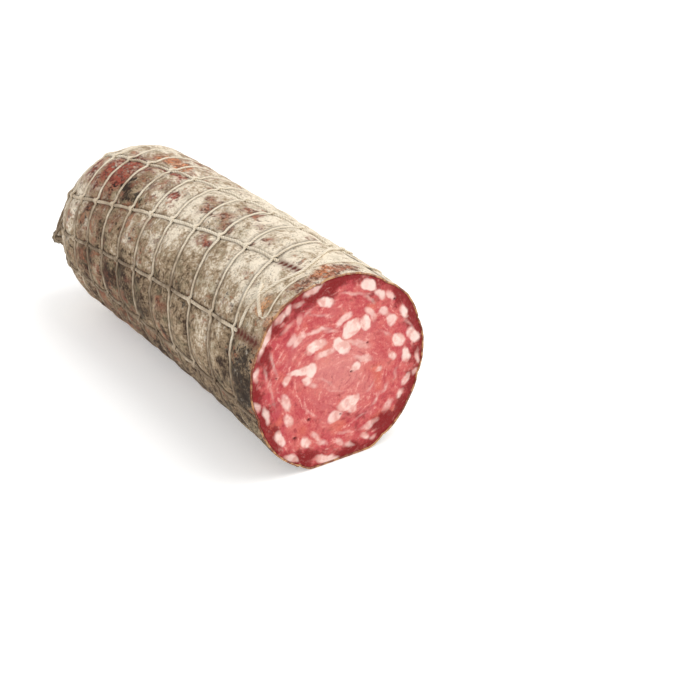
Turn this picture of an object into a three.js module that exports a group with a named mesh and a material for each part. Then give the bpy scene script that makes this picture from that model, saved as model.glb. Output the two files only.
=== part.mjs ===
// A cured sausage: a thick salami log that has been cut across, in its mould-covered casing and a
// net of twine. Millimetres, +X out of the cut face, +Y to the back, +Z up, standing on z = 0.
import * as THREE from 'three';
import { mergeVertices } from 'three/addons/utils/BufferGeometryUtils.js';

// The log
const LOG_LENGTH = 204.5; // from the middle of the cut to the end of the dome
const LOG_RADIUS = 45; // at the cut
const LOG_NARROWING = 3.4; // how much smaller the radius is at the far end
const OVAL = 0.041; // how far the section is from round
const OVAL_TURN = 25; // degrees from the top, towards the front
const SIDE_BEND = 3.1; // the middle of the log lies this far back
const FLAT_DEPTH = 2.6; // how deep the underside is pressed flat
const CUT_TURN = 0.022; // slope of the cut across the log
const CUT_LEAN = -0.041; // slope of the cut up the log

// The domed far end, whose tip is pulled forward and down
const DOME_LENGTH = 37;
const DOME_FULLNESS = 2.35;
const DOME_SHOULDER = 0.6835;
const TIP_FORWARD = 27.5;
const TIP_DROP = 8.3;
const TIP_PULL = 6; // how late in the dome the pull comes

// Casing and filling
const CASING_THICKNESS = 0.9;
const FILLING_GAP = 0.3; // between the filling and the casing
const NUB_RADIUS = 3; // the gathered end of the casing
const NUB_LENGTH = 3.8;

// The net: lengthwise strands A to H, and hoops round the log
const STRAND_RADIUS = 0.9;
const HOOP_RADIUS = 0.7;
const TWINE_GAP = 0.3; // between twine and what it lies on
const TABLE_GAP = 0.3; // between twine and the table
const STRANDS_AT_CUT = [-36, 10, 58, 104, 152, 210, 252, 288]; // degrees from the top, to the front
const STRANDS_AT_END = [16, 53, 79, 104, 146, 200, 246, 308];
const STRAND_TURN_LENGTH = 175; // length over which the strands turn from the first to the second
const STRAND_TURN_POWER = 1.31;
const STRAND_END_MARGIN = 1.5; // from the cut to the end of a strand that reaches it
const STRAND_STUB = 2.6; // how far a strand runs on past the last twine that crosses it
const HOOP_COUNT = 12;
const FIRST_HOOP = 17.5; // from the cut, at the underside
const LAST_HOOP_MARGIN = 17.5; // from the tip
const HOOP_CROWDING = 0.3; // hoops stand closer together towards the tip
const HOOP_LEAN = 22; // how much further from the cut a hoop lies on top
const HOOP_LEAN_TURN = -25;
const HOOP_LEAN_FADE = 56; // length before the tip over which the lean is lost

// The twine pulled back from the cut, and the thin loose ends that lie beside it
const PULL_ANGLE = 9; // where it sags most towards the cut
const PULL_WIDTH = 29;
const PULL_LEAST = 4; // from the first hoop
const PULL_MOST = 20;
const LOOSE_RADIUS = 0.5;
const LOOSE_GAP = 0.2; // between a loose end and what it lies on
const LOOSE_BULGE = 150; // the log bulges by this share of its radius between two points of a loose end
// Angle from the top, and distance past the first hoop's place, of each point that a loose end passes
const SECOND_TURN = [[5, -3.5], [-4, -3.9], [-14, -4.1], [-25, -3.9], [-36, -3.1], [-46, -2]];
const TWINE_TAIL = [
  [31, 6.5], [36, 1.5], [40, -1.5], [43.5, -5.5], [45, -9.1],
  [42, -10.9], [35, -9.5], [27, -7.9], [18, -6.9], [12, -7.1],
];

// How the filling swells between the twines
const SWELL = 1; // above the log's surface in the middle of a mesh
const GROOVE = 0.5; // below it along a twine
const KNOT_DIP = 1.3; // deeper still where two twines cross
const PANEL_COLUMNS = 4;
const PANEL_ROWS = 3;

const COLUMNS = STRANDS_AT_CUT.length * PANEL_COLUMNS;
const rad = THREE.MathUtils.degToRad;
const clamp = THREE.MathUtils.clamp;
const lerp = THREE.MathUtils.lerp;

// Half-width of the section at an angle, as a share of the radius. Near the cut it is less regular.
function sectionRatio(angle, s) {
  const turn = rad(angle);
  const nearCut = Math.exp(-((s / 45) ** 2));
  const uneven = -0.021 * Math.sin(2 * turn) - 0.016 * Math.cos(3 * turn) + 0.011 * Math.sin(3 * turn);
  return 1 + OVAL * Math.cos(2 * (turn - rad(OVAL_TURN))) + uneven * nearCut;
}

const REST_HEIGHT = LOG_RADIUS * (1 + OVAL * Math.cos(2 * rad(180 - OVAL_TURN))) - FLAT_DEPTH;

// How far along the dome a point is, from 0 at its start to 1 at the tip.
function domeShare(s) {
  return clamp((s - (LOG_LENGTH - DOME_LENGTH)) / DOME_LENGTH, 0, 1);
}

// The smooth log without its swellings: a point at an angle from the top and s from the cut.
function logPoint(angle, s) {
  const share = domeShare(s);
  const along = s / LOG_LENGTH;
  const dome = (1 - share ** DOME_FULLNESS) ** DOME_SHOULDER;
  const radius = (LOG_RADIUS - LOG_NARROWING * along) * dome * sectionRatio(angle, s);
  const middleY = SIDE_BEND * 4 * along * (1 - along) - TIP_FORWARD * share ** TIP_PULL;
  const middleZ = -LOG_NARROWING * along - TIP_DROP * share ** TIP_PULL;
  const turn = rad(angle);
  return new THREE.Vector3(-s, middleY - radius * Math.sin(turn), middleZ + radius * Math.cos(turn));
}

// The direction straight out of the smooth log.
function logNormal(angle, s) {
  const ahead = Math.min(s + 0.2, LOG_LENGTH - 0.02);
  const alongLog = logPoint(angle, ahead).sub(logPoint(angle, ahead - 0.4));
  const roundLog = logPoint(angle + 0.5, ahead - 0.2).sub(logPoint(angle - 0.5, ahead - 0.2));
  return alongLog.cross(roundLog).normalize();
}

// The angle of a column, counted from strand A, at s from the cut.
function columnAngle(column, s) {
  const count = STRANDS_AT_CUT.length;
  const turned = clamp(s / STRAND_TURN_LENGTH, 0, 1) ** STRAND_TURN_POWER;
  const strand = column / PANEL_COLUMNS;
  const first = Math.floor(strand);
  const angles = [first, first + 1].map((k) => {
    const lap = 360 * Math.floor(k / count);
    const which = k - count * Math.floor(k / count);
    return lerp(STRANDS_AT_CUT[which], STRANDS_AT_END[which], turned) + lap;
  });
  return lerp(angles[0], angles[1], strand - first);
}

function hoopPlace(i) {
  const t = i / (HOOP_COUNT - 1);
  return lerp(FIRST_HOOP, LOG_LENGTH - LAST_HOOP_MARGIN, t * (1 + HOOP_CROWDING * (1 - t)));
}

function leaning(place, angle) {
  const amount = HOOP_LEAN * (1 - 0.0013 * place) * clamp((LOG_LENGTH - place) / HOOP_LEAN_FADE, 0, 1);
  return place + amount * ((1 + Math.cos(rad(angle - HOOP_LEAN_TURN))) / 2) ** 2;
}

// The cut slopes slightly, so its distance along the log depends on the angle.
function cutPlace(angle) {
  const edge = logPoint(angle, 0);
  return -(CUT_TURN * edge.y + CUT_LEAN * edge.z);
}

// The twine that was pulled back from the cut sags towards it from the first hoop.
function pulledPlace(angle) {
  const turned = THREE.MathUtils.euclideanModulo(angle - PULL_ANGLE + 180, 360) - 180;
  const sag = PULL_LEAST + (PULL_MOST - PULL_LEAST) * Math.exp(-((turned / PULL_WIDTH) ** 2));
  return leaning(hoopPlace(0), angle) - sag;
}

// Rows across the log. "knot" is 1 on a hoop and 0 in the middle of a mesh.
const rows = [{ place: cutPlace, share: 0.5 }];
rows.push({ place: (a) => lerp(cutPlace(a), pulledPlace(a), 0.5), share: 0.8 });
rows.push({ place: pulledPlace, share: 0.6 });
for (let i = 0; i < HOOP_COUNT; i += 1) {
  rows.push({ place: (a) => leaning(hoopPlace(i), a), share: 0, hoop: i });
  if (i < HOOP_COUNT - 1) {
    for (let j = 1; j < PANEL_ROWS; j += 1) {
      const t = j / PANEL_ROWS;
      rows.push({
        place: (a) => lerp(leaning(hoopPlace(i), a), leaning(hoopPlace(i + 1), a), t),
        share: Math.sin(Math.PI * t),
      });
    }
  }
}
rows.push({ place: () => LOG_LENGTH - 9, share: 0.6 });
rows.push({ place: () => LOG_LENGTH - 4, share: 0.3 });
rows.push({ place: () => LOG_LENGTH - 1.2, share: 0 });
const LAST_ROW = rows.length - 1;

// Where a row meets a column. The angle and the place depend on each other, so they settle in turns.
function meeting(row, column) {
  let s = row.place(columnAngle(column, 0));
  for (let i = 0; i < 12; i += 1) {
    s = row.place(columnAngle(column, s));
  }
  return { s, angle: columnAngle(column, s) };
}

// How high above the table a point has to stay, so that the twine under it clears the table.
function tableRise(onStrand, onHoop) {
  const strand = onStrand ? TWINE_GAP + 2 * STRAND_RADIUS : 0;
  const hoop = onHoop ? TWINE_GAP + 2 * HOOP_RADIUS : 0;
  return strand + hoop > 0 ? strand + hoop + TABLE_GAP : 0;
}

// The swollen surface, "inset" below the outside of the casing.
function skinPoint(row, column, inset) {
  const { s, angle } = meeting(row, column);
  const across = column / PANEL_COLUMNS - Math.floor(column / PANEL_COLUMNS);
  const onStrand = across === 0;
  const onHoop = row.hoop !== undefined;
  const smaller = clamp((LOG_LENGTH - s) / DOME_LENGTH, 0.15, 1);
  const rounded = Math.sqrt(Math.sin(Math.PI * across) * row.share);
  const dip = onStrand && onHoop ? KNOT_DIP : 0;
  const swell = (SWELL + GROOVE) * rounded - GROOVE - dip;
  const point = logPoint(angle, Math.min(s, LOG_LENGTH));
  point.addScaledVector(logNormal(angle, s), swell * smaller - inset);
  point.z = Math.max(point.z, tableRise(onStrand, onHoop) + inset - REST_HEIGHT);
  if (row === rows[0]) {
    point.x = CUT_TURN * point.y + CUT_LEAN * point.z;
  }
  return point;
}

// Merges the shared corners and turns the faces outwards.
function solid(geometry) {
  geometry.deleteAttribute('normal');
  geometry.deleteAttribute('uv');
  const merged = mergeVertices(geometry, 1e-4);
  const p = merged.getAttribute('position');
  const index = Array.from(merged.getIndex().array);
  const faces = [];
  let volume = 0;
  const [a, b, c] = [new THREE.Vector3(), new THREE.Vector3(), new THREE.Vector3()];
  for (let i = 0; i < index.length; i += 3) {
    const [u, v, w] = index.slice(i, i + 3);
    if (u !== v && v !== w && w !== u) {
      a.fromBufferAttribute(p, u);
      b.fromBufferAttribute(p, v);
      c.fromBufferAttribute(p, w);
      volume += a.dot(b.cross(c));
      faces.push([u, v, w]);
    }
  }
  merged.setIndex(faces.flatMap(([u, v, w]) => (volume > 0 ? [u, v, w] : [u, w, v])));
  merged.computeVertexNormals();
  return merged;
}

// A body of revolution whose rings are then laid on the log: ring(j, column) gives each corner.
function laidOnLog(ringCount, ring) {
  const profile = [];
  for (let j = 0; j < ringCount; j += 1) {
    profile.push(new THREE.Vector2(j === 0 || j === ringCount - 1 ? 0 : 1 + j, j));
  }
  const geometry = new THREE.LatheGeometry(profile, COLUMNS);
  const p = geometry.getAttribute('position');
  for (let i = 0; i <= COLUMNS; i += 1) {
    for (let j = 0; j < ringCount; j += 1) {
      const corner = ring(j, i % COLUMNS);
      p.setXYZ(i * ringCount + j, corner.x, corner.y, corner.z);
    }
  }
  return solid(geometry);
}

// The middle of the tip, "inset" below the outside of the casing.
function tipPoint(inset) {
  return new THREE.Vector3(-LOG_LENGTH + inset, -TIP_FORWARD, -LOG_NARROWING - TIP_DROP);
}

// The meat and fat: one piece, with its cut face at the near end.
function fillingGeometry() {
  const inset = CASING_THICKNESS + FILLING_GAP;
  return laidOnLog(LAST_ROW + 3, (j, column) => {
    if (j === 0) {
      return tipPoint(inset);
    }
    const middleOfCut = new THREE.Vector3(0, 0, 0);
    return j === LAST_ROW + 2 ? middleOfCut : skinPoint(rows[LAST_ROW + 1 - j], column, inset);
  });
}

// The casing: a skin round the filling, open at the cut and gathered into a nub at the tip.
function casingGeometry() {
  const tip = tipPoint(0);
  const nubRings = [
    [NUB_RADIUS + 0.6, 0.2],
    [NUB_RADIUS, 1],
    [NUB_RADIUS, NUB_LENGTH - 0.6],
    [NUB_RADIUS - 0.9, NUB_LENGTH],
  ];
  const outerStart = LAST_ROW + 2;
  const nubStart = outerStart + LAST_ROW + 1;
  return laidOnLog(nubStart + nubRings.length + 1, (j, column) => {
    if (j === 0) {
      return tipPoint(CASING_THICKNESS);
    }
    if (j < outerStart) {
      return skinPoint(rows[LAST_ROW + 1 - j], column, CASING_THICKNESS);
    }
    if (j < nubStart) {
      return skinPoint(rows[j - outerStart], column, 0);
    }
    if (j === nubStart + nubRings.length) {
      return new THREE.Vector3(tip.x - NUB_LENGTH, tip.y, tip.z);
    }
    const [radius, out] = nubRings[j - nubStart];
    const turn = rad(columnAngle(column, LOG_LENGTH));
    return new THREE.Vector3(tip.x - out, tip.y - radius * Math.sin(turn), tip.z + radius * Math.cos(turn));
  });
}

// Where twine lies: above the casing between two columns, "height" from its surface to the twine's middle.
function twinePoint(row, column, height) {
  const first = Math.floor(column);
  const share = column - first;
  const point = skinPoint(row, first, 0).lerp(skinPoint(row, first + 1, 0), share);
  const { s, angle } = meeting(row, column);
  return point.addScaledVector(logNormal(angle, s), height);
}

// The column that passes through an angle at s from the cut.
function columnAt(angle, s) {
  let [low, high] = [-COLUMNS / 2, COLUMNS];
  for (let i = 0; i < 40; i += 1) {
    const half = (low + high) / 2;
    if (columnAngle(half, s) < angle) {
      low = half;
    } else {
      high = half;
    }
  }
  return low;
}

// A point above the casing between two rows and two columns.
function abovePoint(angle, s, height) {
  const column = columnAt(angle, s);
  const next = rows.findIndex((row) => row.place(angle) > s);
  const [before, after] = [rows[next - 1], rows[next]];
  const share = (s - before.place(angle)) / (after.place(angle) - before.place(angle));
  return twinePoint(before, column, height).lerp(twinePoint(after, column, height), share);
}

const TWINE_SIDES = 5;

// Sets the rings of a torus or cylinder along a route, keeping them square to it.
function sweep(geometry, ringOf, route, closed, radius) {
  const p = geometry.getAttribute('position');
  const frames = route.map((point, i) => {
    const before = closed ? route[(i + route.length - 1) % route.length] : route[Math.max(i - 1, 0)];
    const after = closed ? route[(i + 1) % route.length] : route[Math.min(i + 1, route.length - 1)];
    const along = after.clone().sub(before).normalize();
    const out = point.clone().sub(new THREE.Vector3(point.x, 0, 0));
    out.addScaledVector(along, -out.dot(along)).normalize();
    return { point, out, side: along.clone().cross(out) };
  });
  for (let i = 0; i < p.count; i += 1) {
    const { ring, turn, inside } = ringOf(i);
    const { point, out, side } = frames[ring];
    const corner = point.clone();
    if (!inside) {
      corner.addScaledVector(out, radius * Math.cos(turn)).addScaledVector(side, radius * Math.sin(turn));
    }
    p.setXYZ(i, corner.x, corner.y, corner.z);
  }
  return solid(geometry);
}

// A closed ring of twine.
function twineRing(route, radius) {
  const geometry = new THREE.TorusGeometry(10, 1, TWINE_SIDES, route.length);
  const ringOf = (i) => ({
    ring: i % (route.length + 1) % route.length,
    turn: (2 * Math.PI * Math.floor(i / (route.length + 1))) / TWINE_SIDES,
  });
  return sweep(geometry, ringOf, route, true, radius);
}

// A length of twine with two ends.
function twineLength(route, radius) {
  const last = route.length - 1;
  const geometry = new THREE.CylinderGeometry(1, 1, 1, TWINE_SIDES, last);
  const wall = (last + 1) * (TWINE_SIDES + 1);
  const turnOf = (k) => (2 * Math.PI * k) / TWINE_SIDES;
  const ringOf = (i) => {
    if (i < wall) {
      return { ring: Math.floor(i / (TWINE_SIDES + 1)), turn: turnOf(i % (TWINE_SIDES + 1)) };
    }
    const capSize = TWINE_SIDES + TWINE_SIDES + 1;
    const k = (i - wall) % capSize;
    return { ring: i - wall < capSize ? 0 : last, turn: turnOf(k - TWINE_SIDES), inside: k < TWINE_SIDES };
  };
  return sweep(geometry, ringOf, route, false, radius);
}

// A hoop lies in its groove and rises over each strand.
function hoopGeometry(row) {
  const low = TWINE_GAP + HOOP_RADIUS;
  const high = TWINE_GAP + 2 * STRAND_RADIUS + TWINE_GAP + HOOP_RADIUS;
  const shoulder = 0.45;
  const route = [];
  for (let strand = 0; strand < STRANDS_AT_CUT.length; strand += 1) {
    const column = strand * PANEL_COLUMNS;
    route.push(twinePoint(row, column, high));
    route.push(twinePoint(row, column + shoulder, lerp(low, high, 0.35)));
    for (let k = 1; k < PANEL_COLUMNS; k += 1) {
      route.push(twinePoint(row, column + k, low));
    }
    route.push(twinePoint(row, column + PANEL_COLUMNS - shoulder, lerp(low, high, 0.35)));
  }
  return twineRing(route, HOOP_RADIUS);
}

// A strand runs along its groove from near the cut to the tied end.
function strandGeometry(strand, firstRow) {
  const column = strand * PANEL_COLUMNS;
  const height = TWINE_GAP + STRAND_RADIUS;
  const route = [];
  const start = twinePoint(rows[firstRow], column, height);
  const before = twinePoint(rows[firstRow - 1], column, height);
  const room = start.distanceTo(before);
  const stub = firstRow === 1 ? room - STRAND_END_MARGIN : Math.min(STRAND_STUB, room / 2);
  route.push(start.clone().lerp(before, stub / room));
  for (let j = firstRow; j <= LAST_ROW; j += 1) {
    route.push(twinePoint(rows[j], column, height));
  }
  return twineLength(route, STRAND_RADIUS);
}

const colours = {
  filling: { color: 0xc4545a, roughness: 0.42, metalness: 0 },
  casing: { color: 0xa89c86, roughness: 0.9, metalness: 0 },
  twine: { color: 0xe6dcc4, roughness: 0.85, metalness: 0 },
};

const log = new THREE.Group();

function add(name, geometry, look) {
  const mesh = new THREE.Mesh(geometry, new THREE.MeshStandardMaterial(colours[look]));
  mesh.name = name;
  log.add(mesh);
}

add('filling', fillingGeometry(), 'filling');
add('casing', casingGeometry(), 'casing');

rows.forEach((row) => {
  if (row.hoop !== undefined) {
    add(`hoop_${row.hoop + 1}`, hoopGeometry(row), 'twine');
  }
});

// Strands A, B and C stop at the twine that was pulled back from the cut; the others reach the cut.
const pulledRow = 2;
const firstHoopRow = 3;
const strandStarts = [pulledRow, firstHoopRow, firstHoopRow, 1, 1, 1, 1, 1];
strandStarts.forEach((firstRow, k) => {
  add(`strand_${'abcdefgh'[k]}`, strandGeometry(k, firstRow), 'twine');
});

// The twine pulled back from the cut, from the end of strand C over to strand A.
const pulledHeight = TWINE_GAP + HOOP_RADIUS;
const overStrand = pulledHeight + 2 * STRAND_RADIUS + TWINE_GAP;
const pulledRoute = [];
for (let column = 2 * PANEL_COLUMNS - 1; column > 0; column -= 1) {
  pulledRoute.push(twinePoint(rows[pulledRow], column, pulledHeight));
}
pulledRoute.push(twinePoint(rows[pulledRow], 0.45, lerp(pulledHeight, overStrand, 0.35)));
pulledRoute.push(twinePoint(rows[pulledRow], 0, overStrand));
pulledRoute.push(twinePoint(rows[pulledRow], -0.45, lerp(pulledHeight, overStrand, 0.35)));
pulledRoute.push(twinePoint(rows[pulledRow], -1, pulledHeight));
add('pulled_twine', twineLength(pulledRoute, HOOP_RADIUS), 'twine');

// A second turn of the same twine, nearer the cut.
const looseHeight = LOOSE_GAP + LOG_RADIUS / LOOSE_BULGE + LOOSE_RADIUS;
const secondRoute = SECOND_TURN.map(([angle, past]) => abovePoint(angle, FIRST_HOOP + past, looseHeight));
add('second_twine', twineLength(secondRoute, LOOSE_RADIUS), 'twine');

// The tail of the knot, which crosses over the pulled twine and trails along the cut.
const tailRoute = TWINE_TAIL.map(([angle, past]) => {
  const s = FIRST_HOOP + past;
  const nearness = Math.exp(-(((s - pulledPlace(angle)) / 2.6) ** 2));
  return abovePoint(angle, s, looseHeight + nearness * (2 * HOOP_RADIUS + TWINE_GAP));
});
add('twine_tail', twineLength(tailRoute, LOOSE_RADIUS), 'twine');

// The tie round the gathered end.
const tieRadius = NUB_RADIUS + TWINE_GAP + HOOP_RADIUS;
const tieRoute = [];
for (let i = 0; i < 16; i += 1) {
  const turn = (2 * Math.PI * i) / 16;
  const tip = tipPoint(0);
  tieRoute.push(new THREE.Vector3(
    tip.x - 2,
    tip.y - tieRadius * Math.sin(turn),
    tip.z + tieRadius * Math.cos(turn),
  ));
}
add('end_tie', twineRing(tieRoute, HOOP_RADIUS), 'twine');

// The log is moved so that it stands on z = 0 with its middle over the origin.
const box = new THREE.Box3();
log.children.forEach((mesh) => {
  mesh.geometry.computeBoundingBox();
  box.union(mesh.geometry.boundingBox);
});
const middle = box.getCenter(new THREE.Vector3());
log.children.forEach((mesh) => {
  mesh.geometry.translate(-middle.x, -middle.y, -box.min.z);
});

export default log;
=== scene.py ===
import bpy
import numpy as np
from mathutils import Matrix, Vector


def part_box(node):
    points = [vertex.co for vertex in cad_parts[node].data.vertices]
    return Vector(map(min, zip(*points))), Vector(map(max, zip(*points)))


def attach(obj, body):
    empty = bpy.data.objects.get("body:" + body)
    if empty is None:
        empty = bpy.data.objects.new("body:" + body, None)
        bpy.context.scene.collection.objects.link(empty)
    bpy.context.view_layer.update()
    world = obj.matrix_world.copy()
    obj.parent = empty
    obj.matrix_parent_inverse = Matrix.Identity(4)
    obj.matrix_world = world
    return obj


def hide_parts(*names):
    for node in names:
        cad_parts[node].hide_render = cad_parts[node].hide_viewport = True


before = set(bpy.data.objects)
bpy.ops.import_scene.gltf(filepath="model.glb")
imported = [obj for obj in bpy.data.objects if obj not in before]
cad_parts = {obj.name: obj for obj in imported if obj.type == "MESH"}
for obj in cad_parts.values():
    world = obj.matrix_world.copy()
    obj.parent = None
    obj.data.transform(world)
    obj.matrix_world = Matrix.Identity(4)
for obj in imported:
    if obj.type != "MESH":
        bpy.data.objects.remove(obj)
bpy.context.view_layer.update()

MM = 0.001

# ------------ Filling
# The filling is coarsely minced lean pork with cubes of back fat, packed hard into the casing and
# cured until it binds. The knife has cut it across, so the near end shows the marbling. It is one
# solid mass, smooth where the casing holds it.

# The log's own sizes, in millimetres from the middle of the cut
LENGTH = 204.5
RADIUS = 45.0
NARROWING = 3.4
OVAL, OVAL_TURN = 0.041, 25.0
SIDE_BEND = 3.1
FLAT_DEPTH, FLAT_ROUNDING, TABLE_GAP = 2.6, 0.3, 0.02
CUT_TURN, CUT_LEAN = 0.022, -0.041
CUT_OUTLINE, CUT_OUTLINE_FADE = (-0.021, -0.016, 0.011), 45
DOME_LENGTH, DOME_FULLNESS, DOME_SHOULDER = 37.0, 2.35, 0.6835
TIP_FORWARD, TIP_DROP, TIP_PULL = 27.5, 8.3, 6
NUB_LENGTH = 3.8
CASING_THICKNESS = 0.9
REST_HEIGHT = RADIUS * (1 + OVAL * np.cos(2 * np.radians(180 - OVAL_TURN))) - FLAT_DEPTH

tie_low, tie_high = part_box("end_tie")
casing_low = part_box("casing")[0]
middle_of_cut = np.array([
    casing_low[0] + (LENGTH + NUB_LENGTH) * MM,
    (tie_low[1] + tie_high[1]) / 2 + TIP_FORWARD * MM,
    casing_low[2] + REST_HEIGHT * MM,
])
tip = np.array([-LENGTH, -TIP_FORWARD, -NARROWING - TIP_DROP])


def lerp(a, b, share):
    return a + (b - a) * share


def ramp(value, start, over):
    """0 up to the start, rising evenly to 1."""
    return np.clip((value - start) / over, 0, 1)


def bell(distance, width):
    """1 at no distance, falling smoothly to nothing over a few widths."""
    return np.exp(-((distance / width) ** 2))


def turned_from(middle, angle):
    """Degrees round the log from a middle angle, between -180 and 180."""
    return (angle - middle + 180) % 360 - 180


def round_line(x, middle_y, middle_z, radius, turn):
    """A point round a lengthwise line, turned from the top towards the front."""
    y = middle_y - radius * np.sin(turn)
    z = middle_z + radius * np.cos(turn)
    return np.stack([x + 0 * y, y, z], -1)


def log_point(angle, s):
    """The smooth log: angle in degrees from the top towards the front, s from the cut."""
    turn = np.radians(angle)
    share = ramp(s, LENGTH - DOME_LENGTH, DOME_LENGTH)
    along = s / LENGTH
    two, three, three_aside = CUT_OUTLINE
    outline = two * np.sin(2 * turn) + three * np.cos(3 * turn) + three_aside * np.sin(3 * turn)
    oval = OVAL * np.cos(2 * (turn - np.radians(OVAL_TURN)))
    ratio = 1 + oval + outline * bell(s, CUT_OUTLINE_FADE)
    radius = (RADIUS - NARROWING * along) * (1 - share ** DOME_FULLNESS) ** DOME_SHOULDER * ratio
    middle_y = SIDE_BEND * 4 * along * (1 - along) - TIP_FORWARD * share ** TIP_PULL
    middle_z = -NARROWING * along - TIP_DROP * share ** TIP_PULL
    return round_line(-s, middle_y, middle_z, radius, turn)


def log_normal(angle, s, half_turn=0.5, half_step=0.3):
    """Straight out of the smooth log."""
    s = np.minimum(s, LENGTH - 0.4)
    across = log_point(angle + half_turn, s) - log_point(angle - half_turn, s)
    along = log_point(angle, s + half_step) - log_point(angle, s - half_step)
    out = np.cross(along, across)
    return out / np.maximum(np.linalg.norm(out, axis=-1, keepdims=True), 1e-9)


def cut_plane(y, z):
    """How far the leaning cut stands ahead of its middle."""
    return CUT_TURN * y + CUT_LEAN * z


def cut_place(angle):
    """Where the cut is on the side of the log, as a distance from its middle."""
    edge = log_point(angle, np.zeros_like(angle))
    return -cut_plane(edge[..., 1], edge[..., 2])


def grain(points, size, seed):
    """Smooth solid noise from -1 to 1 with lumps of about the given size."""
    p = points / size + seed * 17.31
    cell = np.floor(p).astype(np.int64)
    f = p - cell
    f = f * f * (3 - 2 * f)
    total = 0
    for corner in range(8):
        step = np.array([corner & 1, corner >> 1 & 1, corner >> 2 & 1])
        key = (cell + step) @ np.array([73856093, 19349663, 83492791])
        key = (key ^ (key >> 13)) * 1274126177 & 0x7FFFFFFF
        value = (key ^ (key >> 16)) % 65521 / 32760.0 - 1
        total = total + value * np.prod(np.where(step, f, 1 - f), axis=-1)
    return total


def put_in_scene(name, data):
    made = bpy.data.objects.new(name, data)
    bpy.context.scene.collection.objects.link(made)
    return made


def smooth_piece(name, corners, faces):
    """A smooth-shaded piece, from corners in millimetres from the middle of the cut."""
    mesh = bpy.data.meshes.new(name)
    mesh.from_pydata((corners * MM + middle_of_cut).tolist(), [], faces)
    mesh.polygons.foreach_set("use_smooth", np.ones(len(mesh.polygons), bool))
    mesh.update()
    return put_in_scene(name, mesh)


def lay_rings(name, rings, first_pole, last_pole):
    """A closed skin over rings of equally many corners, with a pole at each end."""
    count, around = rings.shape[:2]
    corners = np.concatenate([rings.reshape(-1, 3), [first_pole, last_pole]])
    j, i = np.meshgrid(np.arange(count - 1), np.arange(around), indexing="ij")
    after = (i + 1) % around
    quads = np.stack([j * around + i, j * around + after,
                      (j + 1) * around + after, (j + 1) * around + i], -1).reshape(-1, 4)
    i, after, last = i[0], after[0], (count - 1) * around
    head = np.stack([0 * i + count * around, after, i], -1)
    tail = np.stack([0 * i + count * around + 1, i + last, after + last], -1)
    return smooth_piece(name, corners, quads.tolist() + head.tolist() + tail.tolist())


def mark(piece, name, values):
    """Keeps one number for each corner, which the finish reads by its name."""
    layer = piece.data.attributes.new(name, "FLOAT", "POINT")
    layer.data.foreach_set("value", np.asarray(values, np.float32).ravel())


# The net of twine draws the log in along its strands and hoops, and the filling swells between
# them. Each strand has its angle at the cut and at the end
STRANDS_AT_CUT = [-36, 10, 58, 104, 152, 210, 252, 288]
STRANDS_AT_END = [16, 53, 79, 104, 146, 200, 246, 308]
STRAND_TURN_LENGTH, STRAND_TURN_POWER = 175, 1.31
STRAND_COUNT, HOOP_COUNT = 8, 12
FIRST_HOOP, LAST_HOOP_MARGIN, HOOP_CROWDING = 17.5, 17.5, 0.3
HOOP_LEAN, HOOP_LEAN_LOSS, HOOP_LEAN_TURN, HOOP_LEAN_FADE = 22, 0.0013, -25, 56
PULL_ANGLE, PULL_WIDTH, PULL_LEAST, PULL_MOST = 9, 29, 4, 20
MESH_WIDTH, MESH_LENGTH = 35, 15
STRAND_THICK, HOOP_THICK = 0.82, 0.64
# Crosswise lines of the net, counted from the cut: the cut, the pulled twine, the hoops, the tip
CUT_LINE, PULLED_LINE, FIRST_HOOP_LINE, TIP_LINE = 0, 1, 2, 14
NET_ROUNDS, TIP_CROWDING = 9, 1.5


def net_angle(strand, s):
    """Angle of a place in the net, with strands counted from the first one."""
    turned = ramp(s, 0, STRAND_TURN_LENGTH) ** STRAND_TURN_POWER
    first = np.floor(strand).astype(int)
    sides = []
    for k in (first, first + 1):
        at_cut = np.take(STRANDS_AT_CUT, k % STRAND_COUNT)
        at_end = np.take(STRANDS_AT_END, k % STRAND_COUNT)
        sides.append(lerp(at_cut, at_end, turned) + 360 * (k // STRAND_COUNT))
    return lerp(sides[0], sides[1], strand - first)


def hoop_place(i):
    t = i / (HOOP_COUNT - 1)
    return lerp(FIRST_HOOP, LENGTH - LAST_HOOP_MARGIN, t * (1 + HOOP_CROWDING * (1 - t)))


def leaning(place, angle):
    """A crosswise twine's distance from the cut, which is greatest near the top."""
    amount = HOOP_LEAN * (1 - HOOP_LEAN_LOSS * place) * ramp(LENGTH - place, 0, HOOP_LEAN_FADE)
    return place + amount * ((1 + np.cos(np.radians(angle - HOOP_LEAN_TURN))) / 2) ** 2


def pulled_place(angle):
    sag = lerp(PULL_LEAST, PULL_MOST, bell(turned_from(PULL_ANGLE, angle), PULL_WIDTH))
    return leaning(hoop_place(0), angle) - sag


def line_place(line, angle):
    if line == CUT_LINE:
        return cut_place(angle)
    if line == PULLED_LINE:
        return pulled_place(angle)
    if line >= TIP_LINE:
        return LENGTH + 0 * angle
    return leaning(hoop_place(line - FIRST_HOOP_LINE), angle)


def net_place(line, strand):
    """Distance from the cut and angle where a crosswise line, or a place between two, meets a
    strand, or a place between two."""
    line, strand = np.broadcast_arrays(np.asarray(line, float), np.asarray(strand, float))
    s = np.zeros(line.shape)
    before = np.clip(np.floor(line).astype(int), 0, TIP_LINE - 1)
    for _ in range(NET_ROUNDS):
        angle = net_angle(strand, s)
        s = np.zeros(line.shape)
        for k in np.unique(before):
            here = before == k
            part = line[here] - k
            if k == TIP_LINE - 1:
                part = 1 - (1 - part) ** TIP_CROWDING
            s[here] = lerp(line_place(k, angle[here]), line_place(k + 1, angle[here]), part)
    return s, angle


def end_narrowing(s):
    """1 along the log, less over its rounded end, where the meshes of the net close up."""
    return np.clip((LENGTH - s) / DOME_LENGTH, 0.1, 1)


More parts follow.
